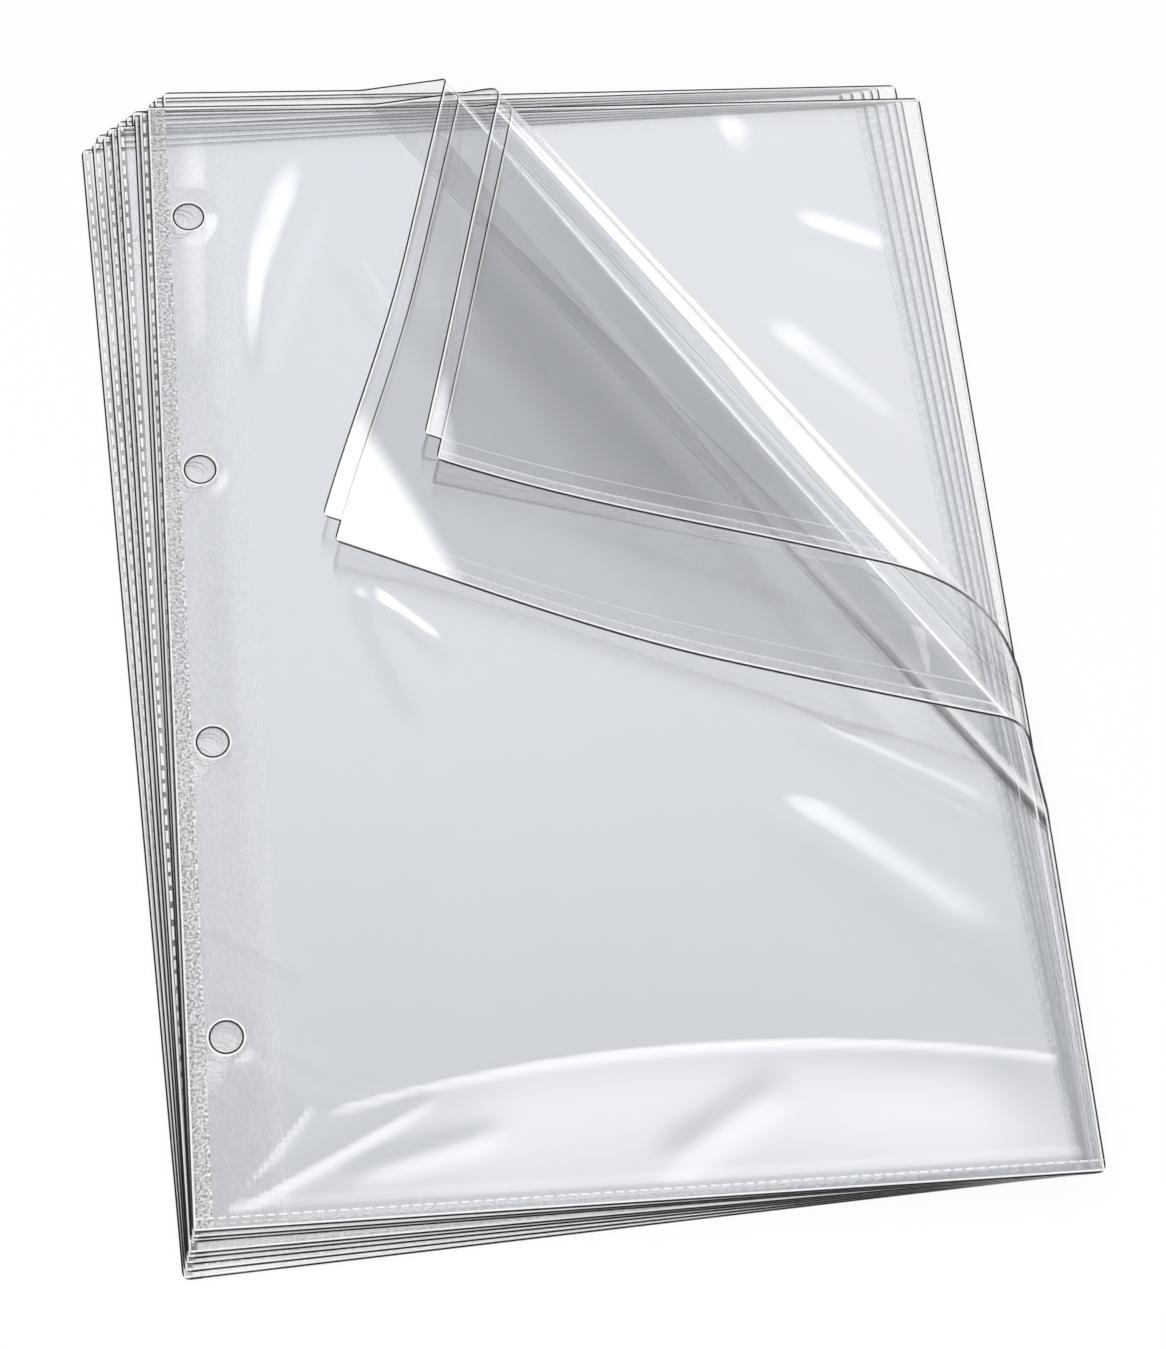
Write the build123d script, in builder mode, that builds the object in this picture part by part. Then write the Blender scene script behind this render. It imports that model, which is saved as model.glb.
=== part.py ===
"""A loose, fanned stack of clear top-loading sheet protectors.

Every protector is a flat pocket: a back film, a stiff binding strip, a weld bead along the right and
bottom edges, and a front film.  The four ring holes are punched through all three layers.  The upper
right corners of the two uppermost protectors are rolled over towards the binding edge.

Millimetres and degrees.  +Y points to the open mouth, -X to the binding edge, +Z up.  The origin lies
on the underside of the stack, below the middle of the top protector.
"""
import os
from math import asin, cos, degrees, pi, sin, tan

from build123d import *

# The pocket
page_width = 232.0
mouth_height = 326.0  # bottom edge to the open mouth, which is the front film's upper edge
corner_radius = 2.0
film_thickness = 0.15

# The back film's lip, which stands above the mouth so that a thumb can part the films
lip_height = 5.0
lip_inset_binding = 4.5
lip_inset_outer = 6.5

# The binding strip and its row of ring holes
strip_width = 24.0
strip_thickness = 0.25
hole_diameter = 8.0
hole_pitch = 80.0
hole_count = 4
hole_margin = 10.5  # binding edge to the line of holes
hole_row_height = 169.0  # bottom edge to the middle of the row
covered_hole_sides = 12  # holes that other protectors cover are drawn with few sides

# The weld beads that close the pocket
side_weld_width = 3.0
bottom_weld_width = 3.5
weld_corner_gap = 0.5  # air vent between the two beads

# The stack, listed from the top protector down
fan_angles = (0.0, 0.36, 0.56, 1.32, 1.58, 1.94, 2.4, 2.86)
fan_pivot_x = 206.0  # from the top protector's lower binding corner
fan_pivot_y = -61.0
stack_gap = 0.2

# The rolled corners
crease_normal_angle = 35.8  # from +X to the direction in which the corner lay before it was rolled
crease_depth = 134.0  # corner to crease on the top protector
crease_step = 14.5  # from the top protector's crease out to the second one's
roll_radius = 8.5  # outside of the top protector's roll
corner_clearance = 0.9  # between the tip of the top protector's flap and the page that it comes down on
roll_clearance = 0.4  # between the second protector's flap and the roll under it
roll_sections = 12

protector_thickness = 2 * film_thickness + strip_thickness
stack_pitch = protector_thickness + stack_gap
roll_normal = Vector(1, 0, 0).rotate(Axis.Z, crease_normal_angle)
roll_axis = roll_normal.rotate(Axis.Z, -90)
flap_drop = 2 * roll_radius - 2 * protector_thickness - corner_clearance
flap_slope = asin(flap_drop / (crease_depth - pi * roll_radius))
roll_turn = pi + flap_slope


def page_plane(index):
    """The underside of a protector: origin at its lower binding corner, X along its bottom edge."""
    middle = Vector(page_width / 2, (mouth_height + lip_height) / 2)
    pivot = Vector(fan_pivot_x, fan_pivot_y)
    corner = pivot - pivot.rotate(Axis.Z, fan_angles[index]) - middle
    height = (len(fan_angles) - 1 - index) * stack_pitch
    x_dir = Vector(1, 0, 0).rotate(Axis.Z, fan_angles[index])
    return Plane(origin=(corner.X, corner.Y, height), x_dir=x_dir, z_dir=(0, 0, 1))


def hole_spots():
    """Centres of the ring holes on a page."""
    lowest = hole_row_height - hole_pitch * (hole_count - 1) / 2
    return [(hole_margin, lowest + hole_pitch * i) for i in range(hole_count)]


class RolledCorner:
    """Where a page leaves its plane, rolls over and comes down as a straight flap.

    Distances run from the crease along roll_normal on the flat page; the roll takes up the length
    self.length, and beyond it the flap begins.
    """

    def __init__(self, page, radius, crease):
        self.page = page
        self.radius = radius
        self.crease = crease
        self.length = radius * roll_turn
        self.centre = crease + Vector(0, 0, radius)

    def crease_plane(self):
        return Plane(origin=self.crease, z_dir=roll_normal)

    def flap_plane(self):
        return Plane(origin=self.crease + roll_normal * self.length, z_dir=roll_normal)

    def section_plane(self, angle):
        """Radial plane of the roll: X along the roll, Y outwards."""
        tangent = roll_normal * cos(angle) + Vector(0, 0, 1) * sin(angle)
        return Plane(origin=self.centre, x_dir=roll_axis, z_dir=tangent)

    def reach(self, distance, edge_dir, edge_at):
        """Position along the roll where a page edge lies, at a distance from the crease."""
        start = self.crease + roll_normal * distance - self.page.origin
        return (edge_at - start.dot(edge_dir)) / roll_axis.dot(edge_dir)

    def hinge(self):
        """Axis that turns the flat corner by roll_turn on to the folded flap."""
        flat = self.crease + roll_normal * self.length
        folded = self.centre + roll_normal * (self.radius * sin(roll_turn))
        folded -= Vector(0, 0, self.radius * cos(roll_turn))
        across = roll_axis.cross(folded - flat)
        return Axis((flat + folded) * 0.5 + across * (0.5 / tan(roll_turn / 2)), roll_axis)


def rolled_corners():
    """The top protector's roll, and the second one's, which is just wide enough to lie over it."""
    pages = [page_plane(0), page_plane(1)]
    corner = pages[0].from_local_coords(Vector(page_width, mouth_height, 0))
    crease = corner - roll_normal * crease_depth
    rise = crease_step * sin(flap_slope) + stack_pitch * cos(flap_slope)
    rise += protector_thickness + roll_clearance
    wider = roll_radius + rise / (1 + cos(flap_slope))
    lower_crease = crease + roll_normal * crease_step - Vector(0, 0, stack_pitch)
    return [RolledCorner(pages[0], roll_radius, crease), RolledCorner(pages[1], wider, lower_crease)]


def page_shape():
    """Outline of a protector up to its mouth, drawn in the open sketch."""
    with Locations((page_width / 2, mouth_height / 2)):
        RectangleRounded(page_width, mouth_height, corner_radius)


def clear_rectangle(left, bottom, right, top):
    """Takes a rectangle away from the open sketch."""
    with Locations(((left + right) / 2, (bottom + top) / 2)):
        Rectangle(right - left, top - bottom, mode=Mode.SUBTRACT)


def punch_holes(page):
    """Ring holes, taken from the open sketch: round where they show, on the outermost protectors."""
    outermost = page.origin.Z in (page_plane(0).origin.Z, page_plane(len(fan_angles) - 1).origin.Z)
    with Locations(hole_spots()):
        if outermost:
            Circle(hole_diameter / 2, mode=Mode.SUBTRACT)
        else:
            RegularPolygon(hole_diameter / 2, covered_hole_sides, major_radius=False, mode=Mode.SUBTRACT)


def keep_part(cut):
    """Trims the open part to one side of a crease; cut is None, or a plane and the side kept."""
    if cut:
        plane, side = cut
        split(bisect_by=plane, keep=side)


def back_film(page, cut=None):
    """Film that lies lowest; its lip stands above the mouth and is narrower than the page."""
    lip_right = page_width - lip_inset_outer
    with BuildPart() as film:
        with BuildSketch(page):
            page_shape()
            with Locations(((lip_inset_binding + lip_right) / 2, mouth_height)):
                RectangleRounded(lip_right - lip_inset_binding, 2 * lip_height, corner_radius)
            punch_holes(page)
        extrude(amount=film_thickness)
        keep_part(cut)
    return film.part


def front_film(page, cut=None):
    """Film that lies uppermost and ends at the mouth."""
    with BuildPart() as film:
        with BuildSketch(page.offset(film_thickness + strip_thickness)):
            page_shape()
            punch_holes(page)
        extrude(amount=film_thickness)
        keep_part(cut)
    return film.part


def binding_strip(page):
    """Stiff strip welded between the films along the binding edge, where the rings pull."""
    with BuildPart() as strip:
        with BuildSketch(page.offset(film_thickness)):
            page_shape()
            clear_rectangle(strip_width, 0, page_width, mouth_height)
            punch_holes(page)
        extrude(amount=strip_thickness)
    return strip.part


def edge_weld(page, cut=None):
    """Beads that join the films along the outer and bottom edges and close the pocket."""
    side_start = page_width - side_weld_width
    with BuildPart() as weld:
        with BuildSketch(page.offset(film_thickness)):
            page_shape()
            clear_rectangle(0, bottom_weld_width, side_start, mouth_height)
            clear_rectangle(0, 0, strip_width, bottom_weld_width)
            clear_rectangle(side_start - weld_corner_gap, 0, side_start, bottom_weld_width)
        extrude(amount=strip_thickness)
        keep_part(cut)
    return weld.part


def rolled_band(roll, depth, thickness, upper_end, outer_end):
    """Band of a page within the roll, at a depth below the roll's outside.

    The ends are page edges, so they climb the roll as helices; each is a direction and a distance.
    """
    with BuildPart() as band:
        for step in range(roll_sections + 1):
            share = step / roll_sections
            start = roll.reach(share * roll.length, *upper_end)
            end = roll.reach(share * roll.length, *outer_end)
            with BuildSketch(roll.section_plane(share * roll_turn)):
                with Locations(((start + end) / 2, roll.radius - depth - thickness / 2)):
                    Rectangle(end - start, thickness)
        loft()
    return band.part


def save(part, name):
    part.label = name
    export_step(part, f"parts/{name}.step")


os.makedirs("parts", exist_ok=True)
rolls = rolled_corners()

for index in range(len(fan_angles)):
    number = index + 1
    page = page_plane(index)
    panel = (rolls[index].crease_plane(), Keep.BOTTOM) if index < len(rolls) else None
    save(back_film(page, panel), f"back_film_{number}")
    save(binding_strip(page), f"binding_strip_{number}")
    save(edge_weld(page, panel), f"edge_weld_{number}")
    save(front_film(page, panel), f"front_film_{number}")

for index, roll in enumerate(rolls):
    number = index + 1
    mouth = (roll.page.y_dir, mouth_height)
    lip = (roll.page.y_dir, mouth_height + lip_height)
    outer = (roll.page.x_dir, page_width)
    weld_start = (roll.page.x_dir, page_width - side_weld_width)
    front_depth = film_thickness + strip_thickness
    save(rolled_band(roll, 0, film_thickness, lip, outer), f"back_curl_{number}")
    save(rolled_band(roll, front_depth, film_thickness, mouth, outer), f"front_curl_{number}")
    save(rolled_band(roll, film_thickness, strip_thickness, weld_start, outer), f"curl_weld_{number}")
    beyond = (roll.flap_plane(), Keep.TOP)
    for make, name in ((back_film, "back_flap"), (front_film, "front_flap"), (edge_weld, "flap_weld")):
        folded = make(roll.page, beyond).rotate(roll.hinge(), degrees(roll_turn))
        save(folded, f"{name}_{number}")
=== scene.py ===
import math

import bpy
import numpy as np
from mathutils import Matrix, Vector
from mathutils.geometry import delaunay_2d_cdt


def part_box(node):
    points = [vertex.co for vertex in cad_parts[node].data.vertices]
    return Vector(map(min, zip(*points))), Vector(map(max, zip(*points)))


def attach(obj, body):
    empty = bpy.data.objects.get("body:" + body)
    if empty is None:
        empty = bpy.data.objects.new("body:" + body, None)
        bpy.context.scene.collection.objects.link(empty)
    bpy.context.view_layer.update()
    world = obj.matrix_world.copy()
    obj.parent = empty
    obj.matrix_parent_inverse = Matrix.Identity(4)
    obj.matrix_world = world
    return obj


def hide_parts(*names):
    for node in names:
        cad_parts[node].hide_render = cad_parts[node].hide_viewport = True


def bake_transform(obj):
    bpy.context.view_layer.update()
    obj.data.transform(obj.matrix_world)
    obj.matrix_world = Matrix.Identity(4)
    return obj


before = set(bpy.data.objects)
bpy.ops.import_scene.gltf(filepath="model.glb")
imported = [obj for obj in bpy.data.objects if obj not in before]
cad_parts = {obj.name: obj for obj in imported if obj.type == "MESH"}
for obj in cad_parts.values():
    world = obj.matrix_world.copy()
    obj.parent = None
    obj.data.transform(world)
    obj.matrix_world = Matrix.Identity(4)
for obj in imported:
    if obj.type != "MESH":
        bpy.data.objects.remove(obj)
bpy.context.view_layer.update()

scene = bpy.context.scene

# Back films: the lowest layer of each of the eight pockets, glossy clear polypropylene 0.15 mm thick.
# Each is cut from the web with a lip that stands above the mouth, and punched with four ring holes.
# The two uppermost ones end here at the crease where their rolled corners begin.
page_width, mouth_height, corner_radius = 0.232, 0.326, 0.002
lip_height, lip_inset_binding, lip_inset_outer = 0.005, 0.0045, 0.0065
lip_top = mouth_height + lip_height
film_thickness, strip_thickness = 0.00015, 0.00025
hole_radius, hole_margin, hole_pitch, lowest_hole = 0.004, 0.0105, 0.08, 0.049
hole_heights = [lowest_hole + hole_pitch * step for step in range(4)]
fan_angles = [math.radians(a) for a in (0.0, 0.36, 0.56, 1.32, 1.58, 1.94, 2.4, 2.86)]
fan_pivot = np.array([0.206, -0.061])
page_middle = np.array([page_width / 2, lip_top / 2])
numbers = range(1, len(fan_angles) + 1)


class Recipe:
    """The shader nodes of a material or of the room; inputs follow the order of the node's sockets."""

    def __init__(self, owner, output="OutputMaterial"):
        self.owner, self.output = owner, output
        owner.use_nodes = True
        self.tree = owner.node_tree
        self.tree.nodes.clear()

    def add(self, kind, *inputs, **settings):
        node = self.tree.nodes.new("ShaderNode" + kind)
        for setting, value in settings.items():
            setattr(node, setting, value)
        for socket, value in zip(node.inputs, inputs):
            if isinstance(value, bpy.types.NodeSocket):
                self.tree.links.new(value, socket)
            elif value is not None:
                socket.default_value = value
        return node

    def math(self, operation, *inputs):
        return self.add("Math", *inputs, operation=operation).outputs[0]

    def noise(self, spot, scale, detail):
        node = self.add("TexNoise", spot)
        node.inputs["Scale"].default_value = scale
        node.inputs["Detail"].default_value = detail
        return node.outputs["Fac"]

    def ramp(self, value, stops):
        node = self.add("ValToRGB", value)
        elements = node.color_ramp.elements
        while len(elements) < len(stops):
            elements.new(1.0)
        for element, (position, grey, alpha) in zip(elements, stops):
            element.position = position
            element.color = (grey, grey, grey, alpha)
        return node

    def mix(self, share, first, second):
        return self.add("MixShader", share, first, second).outputs[0]

    def done(self, shader):
        self.tree.links.new(shader, self.add(self.output).inputs["Surface"])
        return self.owner


def new_finish(name):
    return Recipe(bpy.data.materials.new(name))


def clear_film(recipe, gloss_index, clearness):
    """Clear glossy film: it mirrors a little of the room on its outer side and lets the rest through."""
    gloss = recipe.add("BsdfGlossy", (1, 1, 1, 1), 0.0).outputs[0]
    outer_side = recipe.math("SUBTRACT", 1.0, recipe.add("NewGeometry").outputs["Backfacing"])
    share = recipe.math("MULTIPLY", recipe.add("Fresnel", gloss_index).outputs[0], outer_side)
    tint = (clearness - 0.0005, clearness, clearness + 0.001, 1)
    return recipe.mix(share, recipe.add("BsdfTransparent", tint).outputs[0], gloss)


def along_line(recipe, distance, place, width, share):
    """A thin line at a distance from an edge: share on the line and 0 beside it."""
    off = recipe.math("ABSOLUTE", recipe.math("SUBTRACT", distance, place))
    return recipe.math("MULTIPLY", recipe.math("LESS_THAN", off, width / 2), share)


def dashed(recipe, along, period, gap):
    """1 on the dashes of a welding wheel's track and 0 between them."""
    return recipe.math("GREATER_THAN", recipe.math("PINGPONG", along, period / 2), gap / 2)


painted_rim_width, fold_width = 0.0015, 0.008


def edged_film(name, seams, gloss_index, clearness, outer_rim=1.0):
    """The same film near its edges: painted shade and then a painted highlight along a cut, as a dark line
    and then a white one.

    seams says which seams are pressed into it, and outer_rim how strongly the painted shade and highlight
    show at the outer edge.
    """
    recipe = new_finish(name)
    page = recipe.add("TexCoord").outputs["UV"]
    x, y = recipe.add("SeparateXYZ", page).outputs[:2]
    from_outer = recipe.math("SUBTRACT", page_width, x)
    from_mouth = recipe.math("SUBTRACT", mouth_height, y)
    from_side = recipe.math("MINIMUM", x, from_outer)
    inside = recipe.math("MINIMUM", from_side, recipe.math("MINIMUM", y, from_mouth))
    if seams == "lip":
        lip_middle = (lip_inset_binding + page_width - lip_inset_outer) / 2
        from_middle = recipe.math("ABSOLUTE", recipe.math("SUBTRACT", x, lip_middle))
        to_side = recipe.math("SUBTRACT", lip_middle - lip_inset_binding, from_middle)
        in_lip = recipe.math("MINIMUM", to_side, recipe.math("SUBTRACT", lip_top, y))
        inside = recipe.math("MAXIMUM", inside, in_lip)
    if seams == "top":
        from_hole = recipe.math("PINGPONG", recipe.math("SUBTRACT", y, hole_heights[0]), hole_pitch / 2)
        spread = recipe.add("CombineXYZ", recipe.math("SUBTRACT", x, hole_margin), from_hole)
        reach = recipe.add("VectorMath", spread.outputs[0], operation="LENGTH").outputs["Value"]
        inside = recipe.math("MINIMUM", inside, recipe.math("SUBTRACT", reach, hole_radius))
    # Painted shade and then a painted highlight along each cut and round the ring holes: a dark line, then a
    # white one.
    rim = recipe.ramp(recipe.math("MULTIPLY", inside, 1 / painted_rim_width), [
        (0.0, 0.02, 0.9), (0.26, 0.02, 0.85), (0.36, 0.95, 0.8), (0.58, 0.95, 0.6), (0.72, 0.95, 0.0)])

    at_outer = recipe.math("LESS_THAN", from_outer, 2 * painted_rim_width)
    painted_rim_share = recipe.math("MULTIPLY", rim.outputs["Alpha"],
                            recipe.math("MULTIPLY_ADD", at_outer, outer_rim - 1, 1.0))

    film = clear_film(recipe, gloss_index, clearness)
    white = recipe.add("BsdfDiffuse", (0.95, 0.95, 0.95, 1)).outputs[0]
    if seams == "top":
        speckle = recipe.noise(page, 1300.0, 2.0)
        grain = recipe.ramp(speckle, [(0.36, 0.25, 1.0), (0.62, 0.95, 1.0)])
        grained = recipe.add("BsdfDiffuse", grain.outputs["Color"]).outputs[0]
        band = recipe.math("MULTIPLY", recipe.math("LESS_THAN", x, 0.0044), 0.38)
        film = recipe.mix(band, film, grained)
        line = along_line(recipe, x, place=0.0048, width=0.0008, share=0.75)
        film = recipe.mix(line, film, grained)
    if seams == "under":
        shade = recipe.ramp(recipe.noise(page, 16.0, 1.0), [(0.35, 0.1, 1.0), (0.65, 0.36, 1.0)])
        band = recipe.math("MULTIPLY", recipe.math("LESS_THAN", x, 0.0026), shade.outputs["Color"])
        film = recipe.mix(band, film, recipe.add("BsdfDiffuse", (0.1, 0.1, 0.11, 1)).outputs[0])
        wander = recipe.math("MULTIPLY_ADD", recipe.noise(page, 60.0, 1.0), 0.006, y)
        line = along_line(recipe, x, place=0.0016, width=0.0007, share=0.85)
        dashes = dashed(recipe, wander, period=0.0044, gap=0.0016)
        film = recipe.mix(recipe.math("MULTIPLY", line, dashes), film, white)
    if seams in ("top", "under"):
        line = along_line(recipe, y, place=0.0033, width=0.0004, share=0.55)
        dashes = dashed(recipe, x, period=0.003, gap=0.001)
        film = recipe.mix(recipe.math("MULTIPLY", line, dashes), film, white)
        line = along_line(recipe, from_outer, place=0.0033, width=0.0003, share=0.25)
        film = recipe.mix(line, film, white)
    # Painted shade and then a painted highlight along the first roll's crease: a dark line and a white one,
    # fading in towards the outer edge.
    if seams == "creased":
        normal_x, normal_y = rolls[1].normal
        slant = recipe.math("MULTIPLY_ADD", x, normal_x, recipe.math("MULTIPLY", y, normal_y))
        past_crease = recipe.math("SUBTRACT", slant, rolls[1].crease)
        fold = recipe.ramp(recipe.math("MULTIPLY", past_crease, 1 / fold_width), [
            (0.0, 0.05, 0.0), (0.14, 0.05, 0.4), (0.3, 0.05, 0.3), (0.44, 0.95, 0.6), (0.58, 0.95, 0.45),
            (0.8, 0.95, 0.0)])
        painted_crease_fade = recipe.add("MapRange", x, 0.155, 0.205).outputs[0]
        painted_crease_shade = recipe.add("BsdfDiffuse", fold.outputs["Color"]).outputs[0]
        film = recipe.mix(recipe.math("MULTIPLY", fold.outputs["Alpha"], painted_crease_fade), film, painted_crease_shade)
    if seams in ("rolled", "creased"):
        line = along_line(recipe, from_outer, place=0.0032, width=0.0005, share=0.8)
        film = recipe.mix(line, film, white)
        line = along_line(recipe, from_outer, place=0.0072, width=0.0003, share=0.5)
        film = recipe.mix(line, film, white)
    # The painted shade and highlight of the cuts go on last, over the film and its seams.
    edge = recipe.add("BsdfDiffuse", rim.outputs["Color"]).outputs[0]
    return recipe.done(recipe.mix(painted_rim_share, film, edge))


def shaded_cut_face():
    """The cut face of the film, painted dark as painted shade for how dark it looks when it is looked into.
    """
    recipe = new_finish("shaded_cut_film_edge")
    streaks = recipe.noise(recipe.add("TexCoord").outputs["Object"], 900.0, 2.0)
    # Painted shade: the clear cut face is given a dark colour, streaked at random.
    shade = recipe.ramp(streaks, [(0.3, 0.03, 1.0), (0.7, 0.12, 1.0)])
    body = recipe.add("BsdfPrincipled", shade.outputs["Color"])
    body.inputs["Roughness"].default_value = 0.3
    return recipe.done(body.outputs[0])


def film_finishes(name, seams, gloss_index, clearness, outer_rim=1.0):
    """Finishes of a film's middle, of its borders and of its cut edge."""
    plain = new_finish(name)
    border = edged_film(name + "_border", seams, gloss_index, clearness, outer_rim)
    return plain.done(clear_film(plain, gloss_index, clearness)), border, shaded_cut_finish


shaded_cut_finish = shaded_cut_face()
# The second gloss, for the rolls and flaps, mirrors more than the same film lying flat: a painted reflection
# on the rolls, and painted shade on the flaps, which let less through.
flat_gloss, rolled_painted_gloss, clearness, covered_rim = 1.72, 2.4, 0.9985, 0.3
back_finishes = film_finishes("back_film", "lip", flat_gloss, clearness)
# The covered protectors get fainter painted shade and highlight along their outer cut.
covered_back = film_finishes("covered_back_film", "lip", flat_gloss, clearness, covered_rim)


def on_page(number, flat):
    """Places page points, measured from the lower binding corner, where that protector lies in the fan."""
    a = fan_angles[number - 1]
    turn = np.array([[math.cos(a), math.sin(a)], [-math.sin(a), math.cos(a)]])
    return (flat - fan_pivot) @ turn + fan_pivot - page_middle


def underside(number):
    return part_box(f"binding_strip_{number}")[0].z - film_thickness


def arc(centre, radius, start, end, steps):
    """Points on an arc, with the angles in degrees."""
    angles = np.radians(np.linspace(start, end, steps))
    return [(centre[0] + radius * math.cos(a), centre[1] + radius * math.sin(a)) for a in angles]


def page_outline(top_right, top_left):
    """Outline of a film, anticlockwise, with its two upper corners given as points."""
    r = corner_radius
    return arc((r, r), r, 180, 270, 5) + arc((page_width - r, r), r, 270, 360, 5) + top_right + top_left


square_right = arc((page_width - corner_radius, mouth_height - corner_radius), corner_radius, 0, 90, 5)
square_left = arc((corner_radius, mouth_height - corner_radius), corner_radius, 90, 180, 5)
lip_right, rounded_from = page_width - lip_inset_outer, lip_top - corner_radius
lipped_right = square_right + [(lip_right, mouth_height)]
lipped_right += arc((lip_right - corner_radius, rounded_from), corner_radius, 0, 90, 5)
lipped_left = arc((lip_inset_binding + corner_radius, rounded_from), corner_radius, 90, 180, 5)
lipped_left += [(lip_inset_binding, mouth_height)] + square_left
back_outline = page_outline(lipped_right, lipped_left)
ring_holes = [arc((hole_margin, y), hole_radius, 0, 351, 40) for y in hole_heights]


def clipped(outline, normal, limit):
    """The part of an outline whose distance along normal is below limit."""
    kept = []
    for p, q in zip(outline, outline[1:] + outline[:1]):
        a, b = np.dot(p, normal) - limit, np.dot(q, normal) - limit
        if a <= 0:
            kept.append(p)
        if a * b < 0:
            kept.append(tuple(np.array(p) + (np.array(q) - np.array(p)) * a / (a - b)))
    return kept


def triangles_over(outline, holes, spacing):
    """Triangles over an outline with holes, with points about every spacing inside it."""
    low, high = np.min(outline, 0), np.max(outline, 0)
    rows = [np.arange(a + spacing / 2, b, spacing) for a, b in zip(low, high)]
    grid = np.stack(np.meshgrid(*rows), -1).reshape(-1, 2)
    inside = np.zeros(len(grid), bool)
    border = np.full(len(grid), np.inf)
    points, edges = [], []
    for loop in [outline] + holes:
        first = len(points)
        for p, q in zip(np.array(loop), np.array(loop[1:] + loop[:1])):
            span = q - p
            share = np.clip(((grid - p) @ span) / (span @ span + 1e-18), 0, 1)
            border = np.minimum(border, np.linalg.norm(grid - p - share[:, None] * span, axis=1))
            crossed = (p[1] > grid[:, 1]) != (q[1] > grid[:, 1])
            slope = span[0] / (span[1] if span[1] else 1.0)
            inside ^= crossed & (grid[:, 0] < p[0] + (grid[:, 1] - p[1]) * slope)
            parts = max(1, int(np.linalg.norm(span) / spacing))
            points += [Vector(p + span * i / parts) for i in range(parts)]
        edges += [(i, i + 1) for i in range(first, len(points) - 1)] + [(len(points) - 1, first)]
    points += [Vector(p) for p in grid[inside & (border > 0.35 * spacing)]]
    found = delaunay_2d_cdt(points, edges, [], 2, 1e-9)
    flat = np.array([tuple(p) for p in found[0]])
    faces = np.array(found[2])
    centres = flat[faces].mean(1)
    in_hole = [np.linalg.norm(centres - np.mean(hole, 0), axis=1) < hole_radius for hole in holes]
    kept = ~np.any(in_hole, 0) if holes else slice(None)
    return flat, [tuple(face) for face in faces[kept].tolist()]


binding_border, outer_border, bottom_border, mouth_border = 0.0165, 0.0085, 0.0055, 0.002


def thin_solid(name, flat, faces, lower, upper, finishes):
    """A closed thin solid from a flat division into faces and the placed points of its two sides."""
    count = len(flat)
    walked = {(a, b) for face in faces for a, b in zip(face, face[1:] + face[:1])}
    rim = [(a, b) for a, b in walked if (b, a) not in walked]
    rim.sort()
    solid = [tuple(count + i for i in face) for face in faces] + [face[::-1] for face in faces]
    solid += [(a, b, count + b, count + a) for a, b in rim]
    mesh = bpy.data.meshes.new(name)
    mesh.from_pydata(np.concatenate([lower, upper]).tolist(), [], solid)
    for finish in finishes:
        mesh.materials.append(finish)
    x, y = flat.T
    near_edge = (x < binding_border) | (x > page_width - outer_border)
    near_edge |= (y < bottom_border) | (y > mouth_height - mouth_border)
    kinds = near_edge[np.array(faces)].any(1).astype(int).tolist() * 2 + [2] * len(rim)
    mesh.polygons.foreach_set("material_index", kinds)
    mesh.polygons.foreach_set("use_smooth", [kind < 2 for kind in kinds])
    corners = np.zeros(len(mesh.loops), int)
    mesh.loops.foreach_get("vertex_index", corners)
    page_spot = np.concatenate([flat, flat])[corners].astype(np.float32)
    mesh.uv_layers.new(name="page").data.foreach_set("uv", page_spot.ravel())
    ends = np.zeros(2 * len(mesh.edges), int)
    mesh.edges.foreach_get("vertices", ends)
    sharp = {frozenset(e) for e in rim} | {frozenset((a + count, b + count)) for a, b in rim}
    is_sharp = [frozenset(e) in sharp for e in ends.reshape(-1, 2).tolist()]
    mesh.attributes.new("sharp_edge", "BOOLEAN", "EDGE").data.foreach_set("value", is_sharp)
    piece = bpy.data.objects.new(name, mesh)
    scene.collection.objects.link(piece)
    return piece


def eased(value):
    value = np.clip(value, 0, 1)
    return value * value * (3 - 2 * value)


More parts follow.
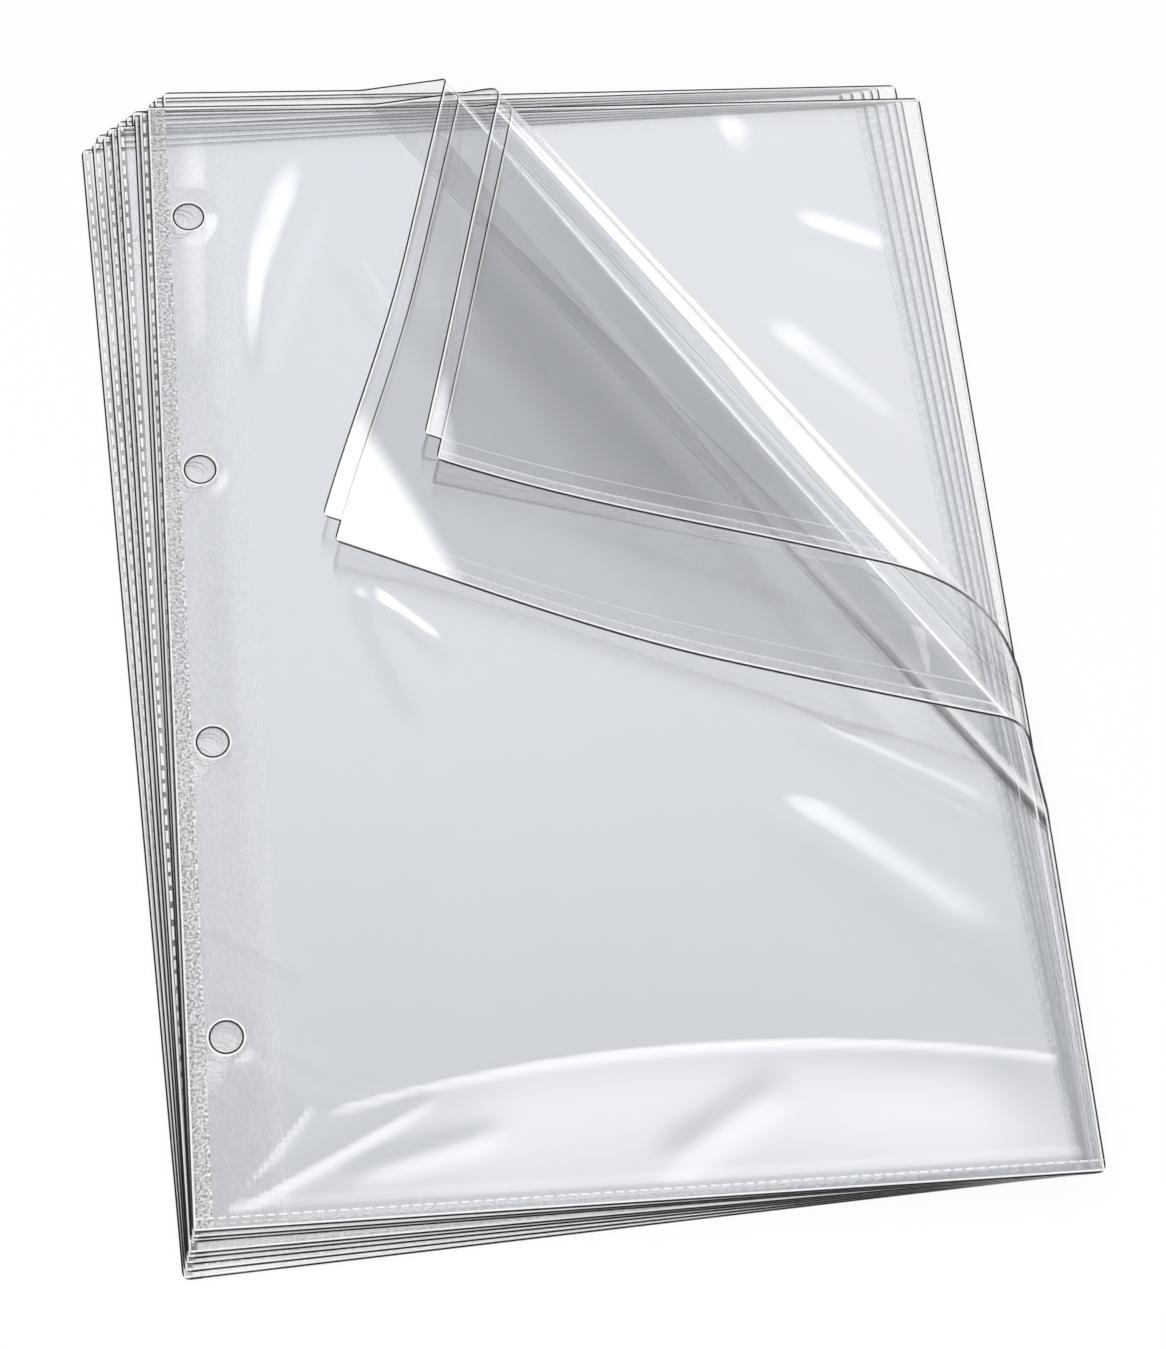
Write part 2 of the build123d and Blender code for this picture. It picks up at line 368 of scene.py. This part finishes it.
class RolledCorner:
    """Where a page leaves its plane at a crease, rolls over and comes down as a flap.

    lean is the direction, from the page's X, in which the corner lay before; depth is from corner to crease.
    upper and outer are the sections at the roll's two ends: how steep the film climbs, for how long, how
    tight it turns back and how steep the flap comes down. slip slides the flap along the roll and take_up
    shortens it a little. The flap starts steeper than its mean slope by the share relaxing, and ends as much
    flatter. Beyond the share lift_from it curls up by tip_lift.
    """

    bend_radius, flap_root = 0.005, 0.010

    def __init__(self, number, lean, depth, upper, outer, slip, take_up, relaxing, tip_lift, lift_from):
        self.number, self.depth, self.slip, self.take_up = number, depth, slip, take_up
        self.relaxing, self.tip_lift, self.lift_from = relaxing, tip_lift, lift_from
        self.sections = [tuple(f(v) for f, v in zip((math.radians, float, float, math.radians), section))
                         for section in (upper, outer)]
        a = math.radians(lean)
        self.normal = np.array([math.cos(a), math.sin(a)])
        self.axis = np.array([math.sin(a), -math.cos(a)])
        self.crease = np.array([page_width, mouth_height]) @ self.normal - depth
        self.length = max(map(self.flap_start, self.sections)) / (1 - take_up) + self.flap_root

    def flap_start(self, section):
        """Length of film from the crease to where the flap begins."""
        climb, ramp, radius, slope = section
        return self.bend_radius * climb + ramp + radius * (math.pi + slope * (1 + self.relaxing) - climb)

    def section(self, path, values):
        """Distance across the roll, height and slope angle at a length along the film from the crease."""
        climb, ramp, radius, slope = values
        bent = np.clip(path / self.bend_radius, 0, climb)
        straight = np.clip(path - self.bend_radius * climb, 0, ramp)
        turn = math.pi + slope * (1 + self.relaxing) - climb
        turned = np.clip((path - self.bend_radius * climb - ramp) / radius, 0, turn)
        flap = np.maximum(path - self.flap_start(values), 0)
        flap_share = flap / (self.depth * (1 - self.take_up) - self.flap_start(values))
        across = self.bend_radius * np.sin(bent) + straight * math.cos(climb) - flap * math.cos(slope)
        across += radius * (np.sin(bent + turned) - np.sin(bent)) + np.minimum(path, 0)
        height = self.bend_radius * (1 - np.cos(bent)) + straight * math.sin(climb)
        height += radius * (np.cos(bent) - np.cos(bent + turned))
        height -= slope * flap * (1 + self.relaxing * (1 - flap_share))
        height += self.tip_lift * (np.maximum(flap_share - self.lift_from, 0) / (1 - self.lift_from)) ** 2
        angle = bent + turned - 2 * self.relaxing * slope * flap_share
        return np.array([across, height, angle])

    def reach(self, past, axis, edge):
        """Place along the roll where the page's edge x = edge or y = edge (axis 0 or 1) crosses it."""
        return (edge - self.normal[axis] * (self.crease + past)) / self.axis[axis]

    def place(self, flat, height):
        """Places page points that lie at a height above the protector's underside."""
        past, along = flat @ self.normal - self.crease, flat @ self.axis
        start, end = self.reach(past, 1, mouth_height), self.reach(past, 0, page_width)
        share = np.clip((along - start) / np.maximum(end - start, 1e-6), 0, 1)
        share = 0.5 + (share - 0.5) * eased((self.depth - past) / 0.07)
        upper, outer = (self.section(past * (1 - self.take_up), values) for values in self.sections)
        across, up, angle = upper + (outer - upper) * share
        along = along + self.slip * np.maximum(past, 0)
        across = self.crease + across - height * np.sin(angle)
        spot = np.outer(across, self.normal) + np.outer(along, self.axis)
        up = underside(self.number) + up + height * np.cos(angle)
        return np.column_stack([on_page(self.number, spot), up])


rolls = {
    1: RolledCorner(1, lean=35.71, depth=0.13709, upper=(24.85, 0.0171, 0.00223, 6.86),
                    outer=(63.53, 0.01053, 0.003, 6.46), slip=0.056, take_up=0.018,
                    relaxing=1.3, tip_lift=0.0075, lift_from=0.4),
    2: RolledCorner(2, lean=34.74, depth=0.11244, upper=(80.0, 0.00263, 0.00832, 10.6),
                    outer=(80.0, 0.00158, 0.014, 7.06), slip=0.083, take_up=0.039,
                    relaxing=0.9, tip_lift=0.0032, lift_from=0.4),
}


def ridge(flat, start, end, height, width):
    """A soft crease between two page points."""
    start, end = np.array(start), np.array(end)
    span = end - start
    share = ((flat - start) @ span) / (span @ span)
    off = np.linalg.norm(flat - start - np.clip(share, 0, 1)[:, None] * span, axis=1)
    ends = eased((share + 0.15) / 0.4) * eased((1.15 - share) / 0.4)
    return height * np.exp(-((off / width) ** 2)) * ends


def sum_of(creases, flat):
    return sum(ridge(flat, *crease) for crease in creases)


def loose(flat):
    """1 where a film is free to stand up, and 0 over the binding strip, at the seams and at the mouth."""
    x, y = flat.T
    free = eased((x - 0.024) / 0.006) * eased((page_width - 0.003 - x) / 0.005)
    return free * eased((y - 0.0035) / 0.005) * eased((mouth_height - y) / 0.01)


page_creases = [
    ((0.048, 0.308), (0.020, 0.230), 0.0011, 0.0075),
    ((0.054, 0.276), (0.066, 0.248), 0.0006, 0.005),
    ((0.052, 0.171), (0.073, 0.152), 0.0008, 0.003),
    ((0.052, 0.170), (0.065, 0.133), 0.0008, 0.0035),
    ((0.152, 0.107), (0.214, 0.056), 0.0014, 0.009),
    ((0.164, 0.128), (0.223, 0.0955), 0.0007, 0.004),
]
bared_creases = [
    ((0.171, 0.322), (0.167, 0.270), 0.0005, 0.007),
    ((0.184, 0.284), (0.216, 0.270), 0.0004, 0.006),
    ((0.168, 0.250), (0.214, 0.202), 0.0009, 0.011),
]


def slack(number, flat):
    """How far a film stands above its lowest place. The top protector is creased and a little wavy.

    The third has a few creases of its own where the rolled corners leave it bare.
    """
    if number == 3:
        return loose(flat) * sum_of(bared_creases, flat)
    if number > 1:
        return np.zeros(len(flat))
    x, y = flat.T
    calm = eased((x - 0.026) / 0.06) * eased((page_width - 0.004 - x) / 0.03)
    to_crease = rolls[1].crease - flat @ rolls[1].normal
    calm = calm * eased((y - 0.004) / 0.03) * eased((to_crease - 0.01) / 0.08)
    calm = calm * (1 - 0.9 * np.exp(-(((x - 0.06) / 0.05) ** 2) - ((y - 0.2) / 0.06) ** 2))
    waves = 1.0 + 0.45 * np.sin(31 * x - 17 * y + 0.6) + 0.35 * np.sin(52 * y + 21 * x + 2.1)
    return 0.0008 * calm * waves + loose(flat) * sum_of(page_creases, flat)


flat_spacing, creased_spacing, pillow_spacing = 0.012, 0.003, 0.0015


def laid_film(number, side, outline, lift, rise, finishes):
    """A film that lies flat in its protector, raised by rise, and cut at the crease where it has one."""
    spacing = creased_spacing if number in (1, 3) else flat_spacing
    if (number, side) == (1, "front"):
        spacing = pillow_spacing
    settled = 1.0
    if number in rolls:
        roll = rolls[number]
        outline = clipped(outline, roll.normal, roll.crease)
    flat, faces = triangles_over(outline, ring_holes, spacing)
    if number in rolls:
        settled = eased((roll.crease - flat @ roll.normal) / 0.012)
    height = underside(number) + lift + rise(flat) * settled
    spot = on_page(number, flat)
    lower, upper = np.column_stack([spot, height]), np.column_stack([spot, height + film_thickness])
    film = thin_solid(f"{side}_sheet_{number}", flat, faces, lower, upper, finishes)
    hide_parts(f"{side}_film_{number}")
    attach(film, f"protector_{number}")


for number in numbers:
    finishes = back_finishes if number < 4 else covered_back
    laid_film(number, "back", back_outline, 0.0, lambda flat: slack(number, flat), finishes)


# Binding strips: stiffer clear plastic, grained on its face, welded between the films where the rings pull.
# They keep the shape that the part has.
strip_recipe = new_finish("grained_strip")
spot = strip_recipe.add("Mapping", strip_recipe.add("TexCoord").outputs["Object"])
spot.inputs["Rotation"].default_value = (0, 0, math.radians(40))
spot.inputs["Scale"].default_value = (1.0, 0.25, 1.0)
grain = strip_recipe.noise(spot.outputs[0], 1800.0, 1.0)
cover = strip_recipe.ramp(grain, [(0.4, 0.0, 1.0), (0.7, 0.06, 1.0)]).outputs["Color"]
matt = strip_recipe.add("BsdfDiffuse", (0.95, 0.955, 0.965, 1)).outputs[0]
clear = strip_recipe.add("BsdfTransparent", (0.999, 0.999, 0.9995, 1)).outputs[0]
strip_finish = strip_recipe.done(strip_recipe.mix(cover, clear, matt))
for number in numbers:
    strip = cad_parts[f"binding_strip_{number}"]
    strip.data.materials.clear()
    strip.data.materials.append(strip_finish)


# Edge welds: the beads pressed by the heated jaws along the outer and bottom edges, which close the pocket.
# They are the films' own plastic, a little cloudy where it melted.
weld_recipe = new_finish("pressed_weld")
cloud = weld_recipe.noise(weld_recipe.add("TexCoord").outputs["Object"], 700.0, 2.0)
cover = weld_recipe.ramp(cloud, [(0.35, 0.03, 1.0), (0.7, 0.25, 1.0)]).outputs["Color"]
matt = weld_recipe.add("BsdfDiffuse", (0.9, 0.91, 0.93, 1)).outputs[0]
clear = weld_recipe.add("BsdfTransparent", (0.995, 0.9955, 0.9965, 1)).outputs[0]
weld_finish = weld_recipe.done(weld_recipe.mix(cover, clear, matt))
for number in numbers:
    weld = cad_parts[f"edge_weld_{number}"]
    weld.data.materials.clear()
    weld.data.materials.append(weld_finish)


# Front films: the same film, cut off straight at the mouth, welded over the strip and the beads.
# On the top protector it stands off the back film as a pillow near the bottom seam, and is creased there.
front_outline = page_outline(square_right, square_left)
top_finishes = film_finishes("top_front_film", "top", flat_gloss, clearness)
front_finishes = film_finishes("front_film", "under", flat_gloss, clearness)
covered_front = film_finishes("covered_front_film", "under", flat_gloss, clearness, covered_rim)


def lowest_of(heights, rounding):
    """The lower envelope of several slopes, rounded where they meet."""
    stacked = np.stack(heights)
    least = stacked.min(0)
    return least - rounding * np.log(np.exp(-(stacked - least) / rounding).sum(0))


def pillow(flat):
    """The slack of the top film near the bottom seam: slopes from the seams up to a curved ridge."""
    x, y = flat.T
    ridge_line = 0.0295 + 0.0105 * (1 - ((x - 0.135) / 0.1) ** 2)
    from_bottom = 0.085 * (y - 0.0035)
    from_binding = 0.095 * (x - 0.006)
    from_outer = 0.5 * (page_width - 0.0035 - x)
    from_ridge = 0.085 * (ridge_line - 0.0035) - 0.045 * (y - ridge_line)
    crest = 0.0003 * np.exp(-(((y - ridge_line) / 0.0016) ** 2)) * eased((x - 0.03) / 0.01)
    return np.maximum(lowest_of([from_bottom, from_binding, from_outer, from_ridge], 0.00008), 0) + crest


top_creases = [
    ((0.0170, 0.314), (0.0160, 0.230), 0.0010, 0.006),
    ((0.0185, 0.225), (0.0190, 0.105), 0.0007, 0.006),
    ((0.010, 0.077), (0.030, 0.064), 0.0005, 0.002),
    ((0.005, 0.003), (0.036, 0.037), 0.0003, 0.0013),
    ((0.005, 0.003), (0.060, 0.029), 0.0003, 0.0016),
    ((0.040, 0.012), (0.078, 0.020), 0.0002, 0.003),
    ((0.118, 0.009), (0.150, 0.027), 0.0003, 0.005),
    ((0.018, 0.041), (0.030, 0.031), 0.0006, 0.003),
    ((0.019, 0.047), (0.037, 0.038), 0.0004, 0.002),
]


def top_slack(flat):
    """The top film's own slack, with nothing at the seams or round the ring holes."""
    x, y = flat.T
    inside = eased((x - 0.004) / 0.004) * eased((page_width - 0.003 - x) / 0.003)
    inside = inside * eased((y - 0.0035) / 0.003) * eased((mouth_height - y) / 0.01)
    for hole_height in hole_heights:
        from_hole = np.hypot(x - hole_margin, y - hole_height) - hole_radius
        inside = inside * eased((from_hole - 0.0005) / 0.005)
    return slack(1, flat) + inside * (pillow(flat) + sum_of(top_creases, flat))


lift = film_thickness + strip_thickness
for number in numbers:
    if number == 1:
        laid_film(number, "front", front_outline, lift, top_slack, top_finishes)
    else:
        finishes = front_finishes if number < 4 else covered_front
        laid_film(number, "front", front_outline, lift, lambda flat: slack(number, flat), finishes)


# Rolled corners: the upper right corners of the two uppermost protectors, turned over towards the binding.
# Nothing holds them but the set of the plastic. Each layer goes round the roll and on into the flap.
def rolled_layer(number, layer, outline, start, finishes, flap_finishes, low, high):
    """The roll and the flap of one layer; start is the page edge (axis, place) that the roll begins at."""
    roll = rolls[number]
    rounds, lengths = 120, 60 if layer != "weld" else 4
    flat = []
    for past in np.linspace(0, roll.length, rounds + 1):
        ends = np.linspace(roll.reach(past, *start), roll.reach(past, 0, page_width), lengths + 1)
        flat += [roll.normal * (roll.crease + past) + roll.axis * along for along in ends]
    flat = np.array(flat)
    row = lengths + 1
    faces = [(i * row + j, i * row + j + 1, (i + 1) * row + j + 1, (i + 1) * row + j)
             for i in range(rounds) for j in range(lengths)]
    lower, upper = roll.place(flat, low), roll.place(flat, high)
    curl = thin_solid(f"{layer}_roll_{number}", flat, faces, lower, upper, finishes)
    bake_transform(curl)
    beyond = clipped(outline, -roll.normal, -roll.crease - roll.length)
    flat, faces = triangles_over(beyond, [], 0.003)
    lower, upper = roll.place(flat, low), roll.place(flat, high)
    flap = thin_solid(f"{layer}_corner_{number}", flat, faces, lower, upper, flap_finishes)
    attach(flap, f"flap_{number}")
    if layer == "weld":
        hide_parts(f"curl_weld_{number}")
        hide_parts(f"flap_weld_{number}")
        return
    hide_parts(f"{layer}_curl_{number}")
    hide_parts(f"{layer}_flap_{number}")


side_weld_width = 0.003
weld_outline = [(page_width - side_weld_width, 0.0), (page_width, 0.0), (page_width, mouth_height),
                (page_width - side_weld_width, mouth_height)]
rolled_back = film_finishes("rolled_back_film", "lip", rolled_painted_gloss, clearness)
rolled_front = film_finishes("rolled_front_film", "rolled", rolled_painted_gloss, clearness)
# The first roll's front film carries the painted crease shade and highlight.
crease_painted_front = edged_film("creased_front_film", "creased", rolled_painted_gloss, clearness)
# The flaps are the same film given a grey tint: painted shade.
flap_painted_shade = 0.955
beads = (weld_finish,) * 3
back_flap = film_finishes("back_flap_film", "lip", rolled_painted_gloss, flap_painted_shade)
front_flap = film_finishes("front_flap_film", "rolled", rolled_painted_gloss, flap_painted_shade)
weld_edge = (0, page_width - side_weld_width)
for number in rolls:
    rolled_layer(number, "back", back_outline, (1, lip_top), rolled_back, back_flap, 0.0, film_thickness)
    rolled_layer(number, "weld", weld_outline, weld_edge, beads, beads, film_thickness, lift)
    round_roll = rolled_front if number == 2 else (crease_painted_front, crease_painted_front, shaded_cut_finish)
    rolled_layer(number, "front", front_outline, (1, mouth_height), round_roll, front_flap,
                 lift, lift + film_thickness)


# Table top: a plain white board that the stack lies on, and that runs on into the backdrop.
# It is lit by the same lamps, so that the stack leaves a soft shadow on it.
table_mesh = bpy.data.meshes.new("table_top")
reach, level = 3.0, -0.0003
table_mesh.from_pydata([(-reach, -reach, level), (reach, -reach, level), (reach, reach, level),
                        (-reach, reach, level)], [], [(0, 1, 2, 3)])
table_top = bpy.data.objects.new("table_top", table_mesh)
scene.collection.objects.link(table_top)
table_recipe = new_finish("white_table")
ray = table_recipe.add("LightPath")
seen = table_recipe.math("MAXIMUM", ray.outputs["Is Camera Ray"], ray.outputs["Is Glossy Ray"])
matt = table_recipe.add("BsdfDiffuse", (0.85, 0.85, 0.85, 1)).outputs[0]
plain_white = table_recipe.add("Emission", (1, 1, 1, 1), 1.0).outputs[0]
table_mesh.materials.append(table_recipe.done(
    table_recipe.mix(table_recipe.math("MULTIPLY", seen, 0.9), matt, plain_white)))


# Studio: a grey room, darker a little to the left, whose glows are what the glossy films mirror: one behind
# the camera for the pillow, a tall one over the rolls, and two for the creases and the tip of the flap.
# One soft box at the lower left lights the grain, the seams and the table.
world = bpy.data.worlds.new("studio")
scene.world = world
room = Recipe(world, "OutputWorld")
direction = room.add("TexCoord").outputs["Generated"]
heading = room.add("SeparateXYZ", direction).outputs
left_right = room.ramp(room.math("ADD", heading[0], 0.5), [
    (0.08, 0.8, 1.0), (0.2, 0.5, 1.0), (0.36, 0.4, 1.0), (0.5, 1.0, 1.0)])
behind = room.ramp(heading[1], [(0.22, 0.41, 1.0), (0.38, 0.64, 1.0), (0.56, 0.7, 1.0)])
walls = room.add("MixRGB", 1.0, left_right.outputs["Color"], behind.outputs["Color"], blend_type="MULTIPLY")
cool_tint = (0.965, 1.0, 1.06, 1)
glow = room.add("MixRGB", 1.0, walls.outputs[0], cool_tint, blend_type="MULTIPLY").outputs[0]


def soft_glow(towards, across, upright, brightness):
    """A round or oval patch of the room, brightest in the middle; its half widths are in degrees."""
    lobe = Vector(towards).normalized()
    sideways = lobe.cross((0, 0, 1)).normalized()
    offsets = []
    for axis, spread in ((sideways, across), (sideways.cross(lobe), upright)):
        scaled = axis / math.sin(math.radians(spread))
        offsets.append(room.add("VectorMath", direction, scaled, operation="DOT_PRODUCT").outputs["Value"])
    off = room.add("CombineXYZ", *offsets).outputs[0]
    square = room.add("VectorMath", off, off, operation="DOT_PRODUCT").outputs["Value"]
    patch = room.add("MapRange", square, 1.0, 0.0, 0.0, brightness, interpolation_type="SMOOTHSTEP")
    return patch.outputs[0]


for towards, across, upright, brightness in (
        ((0.19, -0.20, 0.96), 20, 20, 5.0),
        ((-0.25, 0.66, 0.71), 16, 16, 3.2),
        ((0.53, 0.68, 0.50), 11, 26, 2.2),
        ((0.30, 0.64, 0.71), 9, 9, 3.0)):
    patch = soft_glow(towards, across, upright, brightness)
    glow = room.add("MixRGB", 1.0, glow, patch, blend_type="ADD").outputs[0]
grey_room = room.add("Background", glow, 1.0).outputs[0]
white_room = room.add("Background", (1, 1, 1, 1), 1.0).outputs[0]
backdrop = room.mix(room.add("LightPath").outputs["Is Camera Ray"], grey_room, white_room)
room.done(backdrop)


def soft_box(name, towards, distance, width, height, brightness):
    """A rectangular lamp that faces the stack from a direction."""
    lamp = bpy.data.lights.new(name, "AREA")
    lamp.shape = "RECTANGLE"
    lamp.size, lamp.size_y = width, height
    lamp.energy = brightness * width * height * math.pi
    box = bpy.data.objects.new(name, lamp)
    outwards = Vector(towards).normalized()
    box.location = outwards * distance
    box.rotation_euler = outwards.to_track_quat("Z", "Y").to_euler()
    scene.collection.objects.link(box)


soft_box("key_box", (-0.35, -0.70, 0.62), 2.0, 1.0, 1.0, 6.0)


# Camera at the photograph's angle, worked out from the page corners and the four holes.
# The focal length is in pixels of the photograph, which is 1349 pixels high.
azimuth, elevation, roll_angle = (math.radians(a) for a in (-19.781, 66.044, 15.829))
distance, focal_pixels, photo_height = 0.7954, 2937.5, 1349
target = Vector((-0.005225, -0.019285, 0))
level_back = Vector((math.sin(azimuth), -math.cos(azimuth), 0))
back = level_back * math.cos(elevation) + Vector((0, 0, math.sin(elevation)))
right = Vector((0, 0, 1)).cross(back).normalized()
up = back.cross(right)
tilted_right = right * math.cos(roll_angle) + up * math.sin(roll_angle)
tilted_up = up * math.cos(roll_angle) - right * math.sin(roll_angle)
camera = bpy.data.objects.new("camera", bpy.data.cameras.new("camera"))
camera.matrix_world = Matrix.Translation(target + back * distance) @ Matrix(
    (tilted_right, tilted_up, back)).transposed().to_4x4()
camera.data.lens = camera.data.sensor_width * focal_pixels / photo_height
scene.collection.objects.link(camera)
scene.camera = camera
scene.view_settings.view_transform = "Standard"

# A ray may pass both faces of all the films and strips.
scene.cycles.max_bounces = 12
scene.cycles.glossy_bounces = 6
scene.cycles.transparent_max_bounces = 96
